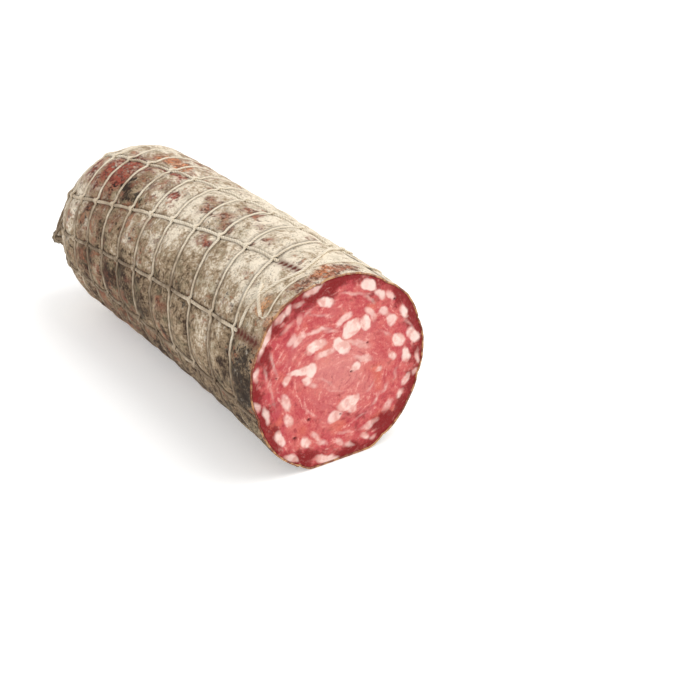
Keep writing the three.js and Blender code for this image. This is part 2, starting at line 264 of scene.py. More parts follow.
def off_strand(strand, s):
    """About how far a place is from the nearest strand."""
    return np.abs(strand - np.round(strand)) * MESH_WIDTH * end_narrowing(s)


def off_line(line):
    return np.abs(line - np.round(line)) * MESH_LENGTH


def is_hoop(line):
    return (np.round(line) >= FIRST_HOOP_LINE) & (np.round(line) < TIP_LINE)


SWELL, GROOVE = 1.0, 0.5
KNOT_DIP, KNOT_WIDTH, KNOT_STRETCH = 1.3, 4.0, 16 / 15
CUT_SWELL, NEAR_SWELL, PULLED_SWELL, TIP_SWELL = 0.5, 0.8, 0.6, 0.6


def skin_rise(line, strand, s):
    """How far the casing stands out from the smooth log, or is drawn in by the twine."""
    band = np.clip(np.floor(line), 0, TIP_LINE - 1)
    t = line - band
    at_cut = np.interp(t, [0, 0.5, 1], [CUT_SWELL, NEAR_SWELL, PULLED_SWELL])
    at_tip = TIP_SWELL * np.sin(np.pi * np.clip(t, 0, 1) ** 0.8)
    share = np.sin(np.pi * np.clip(t, 0, 1))
    share = np.where(band == CUT_LINE, at_cut, share)
    share = np.where(band == PULLED_LINE, PULLED_SWELL * (1 - t), share)
    share = np.where(band == TIP_LINE - 1, at_tip, share)
    pillow = np.sqrt(np.clip(np.sin(np.pi * (strand - np.floor(strand))) * share, 0, 1))
    off_knot = np.hypot(off_strand(strand, s), off_line(line) * KNOT_STRETCH)
    knot = bell(off_knot, KNOT_WIDTH) * is_hoop(line)
    return ((SWELL + GROOVE) * pillow - GROOVE - (KNOT_DIP - GROOVE) * knot) * end_narrowing(s)


def twine_room(line, strand, s, slack=0.5):
    """How far off the table the casing is held by the twine under it."""
    beside_strand = bell(off_strand(strand, s), 2.6)
    beside_hoop = bell(off_line(line), 2.2) * is_hoop(line)
    return (2 * STRAND_THICK + slack) * beside_strand + (2 * HOOP_THICK + slack) * beside_hoop


def skin_point(line, strand, inset=0.0):
    """A point on the casing, or below it by an inset, with the way out, place and angle."""
    line, strand = np.broadcast_arrays(np.asarray(line, float), np.asarray(strand, float))
    s, angle = net_place(line, strand)
    smooth = log_point(angle, s)
    out = log_normal(angle, s)
    lengthwise = smooth * np.array([0.35, 1, 1])
    folds = grain(smooth, 5.5, 21) * 0.26 + grain(smooth, 2.4, 22) * 0.13
    folds = (folds + grain(lengthwise, 1.9, 23) * 0.10) * ramp(LENGTH - s, 0, 6)
    rise = skin_rise(line, strand, s) + folds - inset
    place = smooth + out * rise[..., None]
    table = twine_room(line, strand, s) + inset + TABLE_GAP - REST_HEIGHT
    above = (place[..., 2] - table) / 2
    place[..., 2] = table + above + np.sqrt(above ** 2 + FLAT_ROUNDING ** 2)
    return place, out, s, angle


# The fat pieces in the cut: place across and up, length, width, tilt in degrees and paleness
FAT_PIECES = [
    (16.8, 36.8, 7.6, 4.5, -32, 1), (22.4, 30.9, 6.8, 3.3, -40, 0.9),
    (27.7, 28.7, 5.2, 2.4, -54, 0.8), (-5.1, 35, 7.5, 4.4, -30, 1), (-11, 42.3, 10, 2.8, 21, 0.85),
    (-18.6, 38, 4.2, 2.5, 10, 0.6), (-23.4, 36.5, 4, 2.6, 60, 0.8), (-27.4, 34.4, 6.6, 3, 39, 0.8),
    (-35.6, 26, 15.5, 3.5, 64, 0.9), (-24.4, 28.8, 6.6, 1.8, 35, 0.6),
    (-18.6, 31, 3.6, 2.2, 75, 0.6), (-14.8, 32.1, 4.6, 1.1, 26, 0.45),
    (-22.6, 21.8, 6.4, 4, 48, 0.62), (-19.2, 21.2, 7.4, 3, 52, 0.75),
    (-10.8, 15.7, 9.6, 5.2, 14, 1), (-9.8, 22.8, 11, 1.8, -5, 0.72), (-2.8, 21, 6.4, 1.4, -10, 0.5),
    (3.8, 24.3, 7.8, 3.3, 22, 0.8), (7.5, 18.9, 9.3, 6.6, 22, 1), (14.4, 18.9, 6.9, 4.9, -60, 1),
    (17, 23.4, 6.4, 3.1, -35, 0.72), (18.6, 20.6, 5.2, 2.6, -60, 0.62),
    (1.9, 12.2, 10.4, 6.3, -47, 1), (-6.4, 10.5, 9.2, 2.7, 4, 0.72), (9.8, 11, 13, 2.3, -27, 0.6),
    (24.1, 21.6, 5, 3.4, -50, 0.72), (27.9, 17.2, 7.2, 4, -58, 0.85),
    (34.3, 18.7, 6.7, 3.5, -60, 1), (31.8, 5.7, 7.4, 4.5, -52, 1), (39.1, 5.6, 9, 4.1, -52, 1),
    (35, -2, 6.1, 4.1, -72, 0.95), (28.1, -1.4, 4.5, 2.9, -60, 0.9),
    (41.4, -5.4, 6.3, 2.2, -85, 0.8), (39.6, -12.6, 3.3, 2.7, 30, 0.7),
    (34.8, -14.9, 5.6, 3.1, 62, 0.85), (31.8, -21, 4.7, 2.5, 28, 0.85),
    (25.2, -24.5, 6.2, 2.6, 57, 0.7), (23.8, -15.4, 4.4, 1.8, 50, 0.5),
    (15.2, -31.2, 9.2, 2.7, 16, 0.72), (12.7, -36.6, 4, 2.7, -18, 0.85), (17, -38.1, 3, 2, 0, 0.8),
    (4.2, -16.5, 10.8, 6.5, 8, 0.95), (-2.8, -21.7, 7.2, 4.9, 35, 0.85), (6.4, -20.2, 5, 3, 0, 0.7),
    (2.4, -31, 6, 1.5, -15, 0.6), (-0.8, -34.3, 4.2, 2.4, -50, 0.7),
    (3.8, -37.6, 5.4, 1.9, -20, 0.65), (-7.6, -40.6, 11.8, 3.2, -14, 0.9),
    (-17.8, -29.4, 6, 4, -45, 0.95), (-12.6, -28, 5.4, 2.2, -45, 0.62),
    (-9.8, -31.6, 5.2, 2.3, -32, 0.6), (-25, -35, 7.6, 3.4, -37, 0.85),
    (-30.9, -23.1, 8, 3.6, -60, 0.95), (-26, -16, 6, 3.6, -72, 0.8),
    (-27.3, -6.5, 8.2, 3.4, -72, 0.72), (-36.9, -9.8, 7.6, 2.6, -75, 0.8),
    (-40.4, 11, 6, 2.2, 80, 0.85), (-25.7, 4, 5.7, 3.5, 42, 0.95),
    (-18.6, 6.3, 11.4, 3.4, -6, 0.95), (-13.4, 5, 6, 4.8, 60, 1), (-16.1, 1, 4.5, 4, 70, 0.85),
    (-12.6, -2.8, 4.4, 1.6, -40, 0.55), (9, -0.6, 5.8, 3.6, 40, 0.9),
    (13.3, 2.8, 8.8, 2.5, -25, 0.65), (21, -4.9, 3, 2, 0, 0.6), (-41.6, -3.6, 5.2, 2.5, -62, 0.8),
    (-31.7, 13, 8, 1, -76, 0.55), (-36.2, 9.6, 5.2, 1, -80, 0.5), (9.8, 34.6, 10, 1.2, -20, 0.62),
    (16, 30.6, 6.4, 1.4, -38, 0.6), (18.5, -20.2, 6, 1.6, 55, 0.55),
    (-6.6, -3.2, 9, 0.9, -38, 0.42), (-2, -8.4, 7, 0.9, -24, 0.4), (16.6, -12.4, 5, 1.2, 38, 0.42),
    (36.8, 12, 6, 1.1, -54, 0.5), (-8.4, 29.2, 7.6, 0.9, -12, 0.4),
    (24.4, 11.4, 5.4, 1.1, -35, 0.42), (-33.6, -1, 8, 0.9, -80, 0.45),
    (-15.2, -14.8, 6, 0.9, -52, 0.42), (10.6, -25.8, 6.4, 1, 12, 0.42),
    (29.6, -10.6, 5.6, 1.1, 64, 0.45),
]
# The small holes in the cut: place across and up, and size
CUT_HOLES = [(-15.6, -18.8, 0.8), (-23.0, -25.6, 0.9), (0.5, -21.2, 0.5), (6.8, -2.2, 0.6),
             (15.4, 9.4, 0.5), (29.9, 26.2, 0.6), (-31.0, 6.4, 0.4)]
SQUARENESS, SOFT_EDGE, CLEAR_EDGE = 2.2, 2.8, 1.7
PACKED_ROUND = (2, -5)


def ruffled(y, z, *ways):
    """Places in the cut as flat points, and the same places moved a little by noise. Each way
    gives an amount, a size and two seeds."""
    flat = np.stack([0 * y, y, z], -1)
    for amount, size, seed_y, seed_z in ways:
        y = y + amount * grain(flat, size, seed_y)
        z = z + amount * grain(flat, size, seed_z)
    return flat, y, z


def fat_in_cut(y, z):
    """How much fat shows at each point of the cut, from 0 to 1."""
    flat, y, z = ruffled(y, z, (0.9, 3.8, 1, 3), (0.40, 1.5, 2, 4), (0.10, 0.8, 5, 19))
    fat = np.zeros_like(y)
    for at_y, at_z, long, wide, tilt, pale in FAT_PIECES:
        turn = np.radians(tilt)
        along = ((y - at_y) * np.cos(turn) + (z - at_z) * np.sin(turn)) / (long / 2)
        across = ((z - at_z) * np.cos(turn) - (y - at_y) * np.sin(turn)) / (wide / 2)
        reach = (np.abs(along) ** SQUARENESS + np.abs(across) ** SQUARENESS) ** (1 / SQUARENESS)
        inside = (1.06 - reach) * wide / lerp(SOFT_EDGE, CLEAR_EDGE, pale) + 0.45
        fat = np.maximum(fat, pale * np.clip(inside, 0, 1))
    return fat * (0.88 + 0.12 * grain(flat, 2.2, 7) + 0.08 * grain(flat, 1.0, 20))


def smears_in_cut(y, z):
    """Fine smears and crumbs of fat, most of which follow the packing round the log."""
    flat = np.stack([0 * y, y, z], -1)
    radius = np.hypot(y - PACKED_ROUND[0], z - PACKED_ROUND[1])
    radius = radius + 3.2 * grain(flat, 11.0, 6) + 0.8 * grain(flat, 3.0, 8)
    round_way = np.stack([radius, y, z], -1)
    streaks = (grain(round_way / [1.0, 4.6, 4.6], 1.0, 9) * 0.6
               + grain(round_way / [0.5, 2.4, 2.4], 1.0, 10) * 0.5)
    crumbs = grain(flat, 2.2, 13) * 0.5 + grain(flat, 1.0, 14) * 0.4 + grain(flat, 0.55, 24) * 0.3
    return streaks, crumbs


# Redder, drier lean: place across and up, half size across and up, strength
DEEP_RED = [
    (-34.5, 13, 3, 7.5, 1), (-41.8, 3, 3, 6.5, 1), (-36.5, 20, 2.4, 6, 0.7), (7, -41.5, 10, 3.4, 1),
    (-18, -36.2, 9, 3, 0.9), (23, -33, 8, 6, 1), (33, -27, 6, 6, 0.8), (39, -17, 3.6, 8, 0.9),
    (4, 43, 14, 3, 0.8), (-8, 39, 9, 2.6, 0.6), (31.5, 27.6, 5, 5.5, 0.6), (38.6, 22, 3, 9, 0.8),
    (43, 2, 2, 10, 0.7), (-39.5, -16, 2.6, 9, 0.7), (-34, -28, 3, 6, 0.7), (-20, 34, 5, 2.4, 0.5),
    (9, -31, 3.6, 3, 0.6), (-30, -2, 2.4, 7, 0.4), (8, -24.6, 9, 2.6, 0.5), (-14, -36.5, 6, 2, 0.6),
    (20, -38, 6, 3, 0.8), (18, 30, 9, 2, 0.4), (27, -31, 4, 4, 0.6), (-29, 29, 3, 6, 0.5),
]


def deep_red_in_cut(y, z):
    """How red and dry the lean is at each point of the cut, from 0 to 1."""
    _, y, z = ruffled(y, z, (2.2, 4.0, 15, 17), (0.9, 1.5, 16, 18))
    deep = np.zeros_like(y)
    for at_y, at_z, half_y, half_z, strength in DEEP_RED:
        deep = np.maximum(deep, strength * bell(y - at_y, half_y) * bell(z - at_z, half_z))
    return deep


def lines_along(near_cut, near_tip):
    """Crosswise lines from the cut to the tip, half a mesh apart in between."""
    return np.concatenate([near_cut, np.arange(FIRST_HOOP_LINE, TIP_LINE - 0.75, 0.5), near_tip])


FACE_RINGS, AROUND = 132, 560
RIM_LAP, FACE_SUNK, HOLE_DEPTH, SIDE_GAP = 0.06, 0.12, 0.9, 0.6
rim_strands = np.arange(AROUND) * STRAND_COUNT / AROUND
rim = skin_point(0.0, rim_strands, CASING_THICKNESS - RIM_LAP)[0]
out_shares = (np.arange(FACE_RINGS) + 1) / FACE_RINGS
face = rim[None] * out_shares[:, None, None]
cut_y, cut_z = face[..., 1], face[..., 2]
fat = fat_in_cut(cut_y, cut_z)
streaks, crumbs = smears_in_cut(cut_y, cut_z)
deep = deep_red_in_cut(cut_y, cut_z)
hollow = np.zeros_like(fat)
for hole_y, hole_z, size in CUT_HOLES:
    hollow = np.maximum(hollow, bell(np.hypot(cut_y - hole_y, (cut_z - hole_z) * 1.4), size))
relief = 0.10 * fat + 0.05 * streaks + 0.05 * grain(face, 1.0, 11) + 0.16 * grain(face, 9.0, 12)
relief = (relief - HOLE_DEPTH * hollow) * np.clip((1 - out_shares) * 12, 0, 1)[:, None]
face[..., 0] = cut_plane(cut_y, cut_z) + relief - FACE_SUNK

side = [skin_point(line, rim_strands, CASING_THICKNESS + SIDE_GAP)[0]
        for line in lines_along([0.15, 0.5, 1.0, 1.5], [13.2, 13.5, 13.75, 13.88])]
filling = lay_rings("filling_cut", np.concatenate([face, side]), [-0.1, 0, 0], tip + [1.3, 0, 0])
for name, on_face, at_middle, on_side in [
        ("fat", fat, fat_in_cut(np.zeros(1), np.zeros(1))[0], 0), ("streaks", streaks, 0, 0),
        ("crumbs", crumbs, 0, 0), ("deep", deep, 0, 0), ("hollow", hollow, 0, 0),
        ("rim", np.repeat(out_shares, AROUND), 0, 1)]:
    mark(filling, name, np.concatenate([
        on_face.ravel(), np.full(len(side) * AROUND, on_side), [at_middle, on_side]]))


class Wire:
    """A value in a finish. Sums on it add Math nodes."""

    def __init__(self, finish, socket):
        self.finish = finish
        self.socket = socket

    def sum(self, operation, a, b):
        return self.finish.node("ShaderNodeMath", {"operation": operation}, {0: a, 1: b})

    def __add__(self, other):
        return self.sum("ADD", self, other)

    def __sub__(self, other):
        return self.sum("SUBTRACT", self, other)

    def __rsub__(self, other):
        return self.sum("SUBTRACT", other, self)

    def __mul__(self, other):
        return self.sum("MULTIPLY", self, other)

    __radd__, __rmul__ = __add__, __mul__

    def swing(self, amount):
        """A noise about nothing, by up to half the amount either way."""
        return (self - 0.5) * amount

    def kept(self):
        """The same value, held between 0 and 1."""
        return self.finish.node("ShaderNodeClamp", {}, {"Value": self})

    def step(self, low, high):
        """0 below low, 1 above high, smooth between them."""
        return self.finish.node("ShaderNodeMapRange", {"interpolation_type": "SMOOTHSTEP"},
                                {"Value": self, "From Min": low, "From Max": high})


class Finish:
    """One material and the nodes that it is made of."""

    def __init__(self, name):
        self.material = bpy.data.materials.new(name)
        self.material.use_nodes = True
        self.tree = self.material.node_tree
        self.tree.nodes.clear()
        self.where = self.node("ShaderNodeTexCoord", {}, {}, "Object")

    def node(self, kind, settings, inputs, output=0):
        made = self.tree.nodes.new(kind)
        for name, value in settings.items():
            setattr(made, name, value)
        for key, value in inputs.items():
            if isinstance(value, Wire):
                self.tree.links.new(value.socket, made.inputs[key])
            else:
                made.inputs[key].default_value = value
        return Wire(self, made.outputs[output])

    def blend(self, first, second, share):
        """A colour between two colours, by a share that the node holds between 0 and 1."""
        return self.node("ShaderNodeMix", {"data_type": "RGBA", "clamp_factor": True},
                         {0: share, 6: first, 7: second}, 2)

    def value(self, name):
        return self.node("ShaderNodeAttribute", {"attribute_name": name}, {}, "Fac")

    def noise(self, scale, detail=4.0, roughness=0.55, distortion=0.0):
        return self.node("ShaderNodeTexNoise", {}, {
            "Vector": self.where, "Scale": scale, "Detail": detail,
            "Roughness": roughness, "Distortion": distortion})

    def bump(self, strength, distance, height):
        return self.node("ShaderNodeBump", {}, {
            "Strength": strength, "Distance": distance, "Height": height})

    def close(self, shader_inputs):
        surface = self.node("ShaderNodeBsdfPrincipled", {}, shader_inputs)
        end = self.tree.nodes.new("ShaderNodeOutputMaterial")
        self.tree.links.new(surface.socket, end.inputs["Surface"])
        return self.material


def paint(red, green, blue):
    """A colour given as it looks, from 0 to 255, in the linear numbers that a shader takes."""
    def linear(c):
        return ((c / 255 + 0.055) / 1.055) ** 2.4 if c > 10 else c / 3294

    return linear(red), linear(green), linear(blue), 1


LEAN_RED, LEAN_ROSE = paint(184, 66, 72), paint(207, 106, 99)
LEAN_PURPLE, LEAN_ORANGE = paint(178, 50, 68), paint(224, 126, 92)
CORE_PINK, RIM_WINE, STREAK_RED = paint(221, 152, 143), paint(128, 10, 12), paint(150, 30, 40)
SMEAR_PINK, FAT_PINK, FAT_CREAM = paint(238, 176, 166), paint(229, 180, 168), paint(247, 218, 207)
HOLE_SHADE = paint(70, 14, 16)

meat = Finish("marbled cured meat")
rim_share, fat_share = meat.value("rim"), meat.value("fat")
streaks, crumbs = meat.value("streaks"), meat.value("crumbs")
fibre = meat.noise(480, 5, 0.6, 0.6)
flecks = meat.noise(1300, 3, 0.65)
cloud = meat.noise(75, 3, 0.5)
tint = meat.noise(170, 3, 0.55)
warmth = meat.noise(60, 2, 0.5)
fat_tone = meat.noise(260, 3, 0.5)
# Lean, paler in the middle of the cut and darker towards the casing, with the fat over it
rosy = (tint + crumbs * 0.25 + streaks * 0.12 + flecks.swing(0.9)).step(0.25, 0.75)
lean = meat.blend(LEAN_RED, LEAN_ROSE, rosy)
lean = meat.blend(lean, LEAN_PURPLE, cloud.step(0.52, 0.68) * 0.4)
lean = meat.blend(lean, LEAN_ORANGE, warmth.step(0.56, 0.7) * 0.4)
core = (1.0 - rim_share + cloud.swing(1.2)).step(0.3, 0.9)
lean = meat.blend(lean, CORE_PINK, core * 0.46)
dark_rim = (rim_share + cloud.swing(0.5)).step(0.76, 1.0) * 0.62 + meat.value("deep") * 0.72
dark_rim = dark_rim + tint.swing(1.3) + fibre.swing(1.3) + flecks.swing(0.8) - crumbs * 0.12
dark_rim = dark_rim.step(0.06, 0.86)
lean = meat.blend(lean, RIM_WINE, dark_rim)
dark_streaks = (streaks * -0.8 - crumbs * 0.5 + fibre.swing(0.8)).step(0.2, 0.75)
lean = meat.blend(lean, STREAK_RED, dark_streaks * 0.5)
smear = (streaks * 0.75 + crumbs * 0.6 + fibre.swing(0.9) + flecks.swing(1.1)).step(0.2, 0.85)
marbled = meat.blend(lean, SMEAR_PINK, smear * (0.6 - dark_rim * 0.35))
fat_share = (fat_share + fibre.swing(0.22)).kept()
fat_paint = meat.blend(FAT_PINK, FAT_CREAM, (fat_tone + crumbs * 0.2).step(0.34, 0.58))
marbled = meat.blend(marbled, fat_paint, fat_share)
# Painted shade: the small holes are painted dark inside, over their sunk relief
marbled = meat.blend(marbled, HOLE_SHADE, meat.value("hollow"))
filling.data.materials.append(meat.close({
    "Base Color": marbled,
    "Roughness": (0.44 - fat_share * 0.06 + fibre.swing(0.25)).kept(),
    "Normal": meat.bump(
        0.5, 0.0007, meat.noise(900, 5, 0.6) + fibre * 0.8 + fat_share * 0.3),
    "IOR": 1.4,
    "Subsurface Weight": 0.03,
    "Subsurface Radius": (0.004, 0.0015, 0.001),
    "Subsurface Scale": 1.0,
    "Specular IOR Level": 0.28,
    "Coat Weight": 0.03,
    "Coat Roughness": 0.25,
}))
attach(filling, "root")
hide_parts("filling")

# ------------ Casing
# The casing is a length of beef gut filled tight, tied at the far end and hung to dry. It swells
# between the twines, wrinkles as it dries and grows a coat of grey and cream mould, thin in places
# where the meat shows through. The knife has left a thin edge of it round the cut.

PANEL_STEPS, PANEL_CROWDING = 36, 0.38
BAND_STEPS, BAND_CROWDING, LAST_LINE = [18, 16] + [20] * 11 + [26], 0.34, 13.985


def crowded(steps, amount):
    """Shares from 0 towards 1, drawn together at both ends, where the twine lies."""
    even = np.arange(steps) / steps
    return even - amount * np.sin(2 * np.pi * even) / (2 * np.pi)


panel = crowded(PANEL_STEPS, PANEL_CROWDING)
strand_steps = (np.arange(STRAND_COUNT)[:, None] + panel[None]).ravel()
line_steps = np.concatenate([
    band + crowded(steps, BAND_CROWDING) for band, steps in enumerate(BAND_STEPS)])
line_steps = line_steps[line_steps < LAST_LINE]

lines, strands = np.meshgrid(line_steps, strand_steps, indexing="ij")
outer, _, outer_s, outer_angle = skin_point(lines, strands)

# The edge left by the knife: inset of each ring, and how far it stands out of the cut
EDGE_RINGS = [(0.34, 0.26), (0.60, 0.10), (CASING_THICKNESS, -0.5)]
EDGE_OUT, OUTER_RAGGED, INNER_RAGGED, RAGGED_SIZE, RAGGED_SEED = 0.10, 0.12, 0.14, 1.6, 31
cut_edge = outer[0]
cut_edge[:, 0] = cut_plane(cut_edge[:, 1], cut_edge[:, 2])
cut_edge[:, 0] += EDGE_OUT + OUTER_RAGGED * grain(cut_edge, RAGGED_SIZE, RAGGED_SEED)
lip = []
for inset, ahead in EDGE_RINGS:
    ring = skin_point(0.0, strand_steps, inset)[0]
    ragged = INNER_RAGGED * grain(ring, RAGGED_SIZE, RAGGED_SEED)
    ring[:, 0] = cut_plane(ring[:, 1], ring[:, 2]) + ahead + ragged
    lip.append(ring)
inner = [skin_point(line, strand_steps, CASING_THICKNESS)[0]
         for line in lines_along([0.3, 0.6, 1.0, 1.5], [13.3, 13.7])]

# The gathered end, drawn in under the tie and spread again behind it: distance beyond the tip,
# radius and depth of the folds
NUB_RINGS = [
    (0.1, 4.2, 0.2), (0.3, 3.2, 0.3), (0.5, 2.6, 0.3), (0.8, 2.4, 0.25), (1.1, 2.5, 0.4),
    (1.4, 2.6, 0.4), (1.6, 2.4, 0.4), (1.7, 2.0, 0.3), (1.6, 1.2, 0.2), (1.4, 0.6, 0.1),
]
NUB_FOLDS, NUB_FINE_FOLDS, NUB_TWIST = 9, 23, 1.3
around_nub = np.radians(outer_angle[-1])
nub = []
for beyond, radius, fold in NUB_RINGS:
    folded = (radius + fold * np.sin(NUB_FOLDS * around_nub + NUB_TWIST * beyond)
              + 0.3 * fold * np.sin(NUB_FINE_FOLDS * around_nub))
    nub.append(round_line(tip[0] - beyond, tip[1], tip[2], folded, around_nub))
skin_rings = inner[::-1] + lip[::-1] + list(outer) + nub
casing = lay_rings("casing_skin", np.array(skin_rings), tip + [2.2, 0, 0], tip - [1.3, 0, 0])

# Where the mould is thin or rubbed off, by what shows there: distance from the cut, angle, half
# size along and round, and strength
BARE_SPOTS = {
    "red": [
        (160, 21, 7.5, 11, 1), (165, 34, 7, 8, 0.6), (155, 30, 6, 7, 0.75), (157, 14, 5, 3.5, 0.6),
        (136, 3, 7, 2.2, 0.9), (147, 6, 5, 2.4, 0.6), (150, 12, 6, 3.5, 0.7),
        (115.6, 19, 3.2, 3, 1), (73.5, 31, 5, 3, 0.75), (61, 4, 5, 4, 0.5), (112, 76, 3, 3, 0.5),
        (150, 55, 5, 9, 0.45), (176, 32, 5, 9, 0.7), (150, -70, 8, 9, 0.6), (95, -120, 9, 8, 0.5),
        (175, -100, 8, 12, 0.6),
    ],
    "rust": [
        (157, 40, 7, 8, 0.5), (96.6, 7, 4.6, 4, 0.7), (92.5, 15, 5, 4, 0.8), (81.6, 12, 6, 5, 0.75),
        (73, 16, 5, 4, 0.75), (77.5, -2, 4, 4, 1), (70, -3, 3, 4, 0.9), (45.6, 8, 3.5, 3, 0.8),
        (35, 32, 2.8, 3, 0.6), (30, 33, 2, 3, 0.5), (8, -4, 3.4, 13, 1), (6, 16, 3, 7, 0.8),
        (84, 77, 4, 4, 0.7), (138, 50, 6, 8, 0.5), (128, 45, 5, 7, 0.3), (132, 86, 5, 6, 0.4),
        (183, -10, 7, 12, 0.5), (170, -28, 8, 8, 0.5), (120, 60, 4, 5, 0.35), (58, 46, 3, 3, 0.45),
        (47, 42, 3, 3, 0.4), (44, 73, 3, 3, 0.3), (96, 92, 6, 7, 0.4), (60, 100, 5, 8, 0.35),
        (180, 70, 7, 10, 0.4), (110, -60, 8, 9, 0.6), (70, -75, 7, 8, 0.5), (40, -110, 8, 9, 0.55),
        (140, -125, 8, 10, 0.5), (30, 165, 8, 9, 0.4), (120, 160, 9, 9, 0.4),
    ],
    "orange": [
        (152, -5, 5.5, 5, 1), (140, -7, 5, 4, 0.9), (10, 2, 3, 7, 0.7), (1.5, 76, 2.2, 14, 0.55),
        (4, 44, 4, 5, 0.6), (3, 60, 3, 9, 0.5),
    ],
    "tan": [
        (13, 38.7, 3.6, 4.2, 1), (2, 40, 2.6, 12, 0.8), (1.5, 20, 2, 9, 0.5), (2, -30, 2, 9, 0.45),
    ],
}
# Where the mould is dark, in the same way
DARK_SPOTS = [
    (147, 31, 5, 4, 1), (140, 33, 5, 3, 0.8), (153, 37, 4, 4, 0.6), (131, 33, 2.6, 3, 0.6),
    (9, 70, 7, 8, 0.85), (15, 82, 8, 9, 0.8), (6, 86, 7, 11, 0.9), (22, 72, 5, 7, 0.65),
    (14, 98, 9, 10, 0.7), (27, 50, 2, 3, 0.6), (38, 48, 2.6, 3, 0.4), (100, 92, 7, 7, 0.4),
    (160, 62, 5, 9, 0.4), (173, 88, 6, 10, 0.5), (63, 68, 5, 5, 0.35), (19, 56, 4, 3, 0.4),
    (145, 62, 4, 8, 0.35), (118, 50, 5, 6, 0.3), (82, 20, 4, 3, 0.4), (128, 96, 8, 8, 0.35),
    (50, 92, 6, 6, 0.3), (60, 150, 12, 20, 0.4), (130, 200, 15, 20, 0.4), (90, -100, 9, 9, 0.4),
    (25, -130, 8, 12, 0.4),
]
# Where the mould is paler or darker than round about, and by how much
MOULD_SPOTS = [
    (27, 25, 6, 7, 0.34), (22, 40, 5, 8, 0.22), (42, 84, 14, 18, 0.26), (117, 22, 9, 8, 0.22),
    (102, 48, 12, 12, 0.14), (62, 28, 14, 12, 0.08), (120, 90, 22, 16, -0.16),
    (172, 66, 18, 18, 0.32),
]
BARE_REACH, DARK_REACH = (1.55, 1.7), (1.2, 1.2)

ragged_s = outer_s + 2.6 * grain(outer, 5.0, 41) + 1.8 * grain(outer, 2.0, 42)
ragged_angle = outer_angle + 3.6 * grain(outer, 5.0, 43) + 2.4 * grain(outer, 2.0, 44)


def spot(at_s, at_angle, along, around, reach=(1, 1)):
    """1 in the middle of a ragged spot, falling to nothing beyond its half sizes."""
    off_along = (ragged_s - at_s) / (along * reach[0])
    off_around = turned_from(at_angle, ragged_angle) / (around * reach[1])
    return np.exp(-(off_along ** 2 + off_around ** 2) ** 1.1)


def strongest(spots, reach):
    """The strongest of many spots at each point."""
    return np.max([strength * spot(*place, reach) for *place, strength in spots], axis=0)


bare = {kind: strongest(spots, BARE_REACH) for kind, spots in BARE_SPOTS.items()}
dark = strongest(DARK_SPOTS, DARK_REACH)

# The casing is painted palest just behind the top and at the far end, and darkest underneath:
# partly the mould's own tone, partly painted light on the side towards the key light and on the far
# end, and painted shade underneath
PALEST_LIT_ANGLE, FRONT_OF_PALEST = -25, 30
PALE_AND_PAINTED_LIGHT_AT = ([0, 45, 70, 95, 125, 180], [0.88, 0.70, 0.48, 0.21, 0.08, 0.06])
from_palest = turned_from(PALEST_LIT_ANGLE, outer_angle)
from_front = np.abs(from_palest - FRONT_OF_PALEST)
far_end = ramp(outer_s, 158, 30)
pale = np.interp(np.abs(from_palest), *PALE_AND_PAINTED_LIGHT_AT)
pale = pale + 0.08 * bell(outer_s - 45, 40) * np.clip(1 - from_front / 80, 0, 1)
pale = pale - 0.22 * ramp(outer_s, 95, 60) * np.clip(1 - from_front / 110, 0, 1)
# Painted light: the far end, which turns away from the key light, is painted paler
pale = pale + 0.45 * far_end + 0.05
for *place, more in MOULD_SPOTS:
    pale = pale + more * spot(*place)
pale = pale + 0.15 * grain(outer, 13, 51) + 0.11 * grain(outer, 5, 52)
thin = 0.32 + 0.24 * ramp(outer_s, 90, 70) - 0.14 * bell(outer_s - 45, 35) - 0.4 * far_end
thin = thin + 0.12 * grain(outer, 11, 53) + 0.12 * grain(outer, 4.5, 54)

# Beside the twine the casing is painted darker: partly dirt, and partly painted shade where the
# twine shades it. Where a strand was pulled off, it has left a row of short bars
FREE_UNTIL = {1: 31, 2: 24}
BAR_STEP, BAR_DEPTH, EDGE_WIDTH = 2.9, 0.28, 1.4
from_strand, nearest = off_strand(strands, outer_s), np.round(strands) % STRAND_COUNT
free_end = np.any([(nearest == k) & (outer_s < end) for k, end in FREE_UNTIL.items()], axis=0)
dirt_and_shade_by_twine = np.maximum(bell(from_strand, 1.5) * ~free_end,
                    bell(off_line(lines), 1.3) * is_hoop(lines) * 0.95)
bars = 1 - BAR_DEPTH + BAR_DEPTH * np.cos(2 * np.pi * outer_s / BAR_STEP)
imprint = bell(from_strand, 2.0) * free_end * bars * ramp(outer_s, 2, 3)
imprint = imprint * np.where(nearest == 1, ramp(outer_s, 15, 2), 1)

# On the gathered nub the casing is set pale as painted light, since it faces away from the key
# light
for name, values, inside, on_nub in [
        ("red", bare["red"], 0, 0.1), ("rust", bare["rust"], 0, 0.1), ("tan", bare["tan"], 0, 0),
        ("orange", bare["orange"], 0, 0), ("dark", dark, 0, 0),
        ("pale", np.clip(pale, 0, 1), 0.6, 0.8), ("thin", np.clip(thin, 0, 1), 0.5, 0.5),
        ("dirt_and_shade_by_twine", dirt_and_shade_by_twine, 0, 0.1), ("imprint", imprint, 0, 0),
        ("edge", 1 - ramp(outer_s - cut_place(outer_angle), 0, EDGE_WIDTH), 1, 0)]:
    mark(casing, name, np.concatenate([
        np.full((len(inner) + len(lip)) * len(strand_steps), inside), values.ravel(),
        np.full(len(nub) * len(strand_steps), on_nub), [inside, on_nub]]))

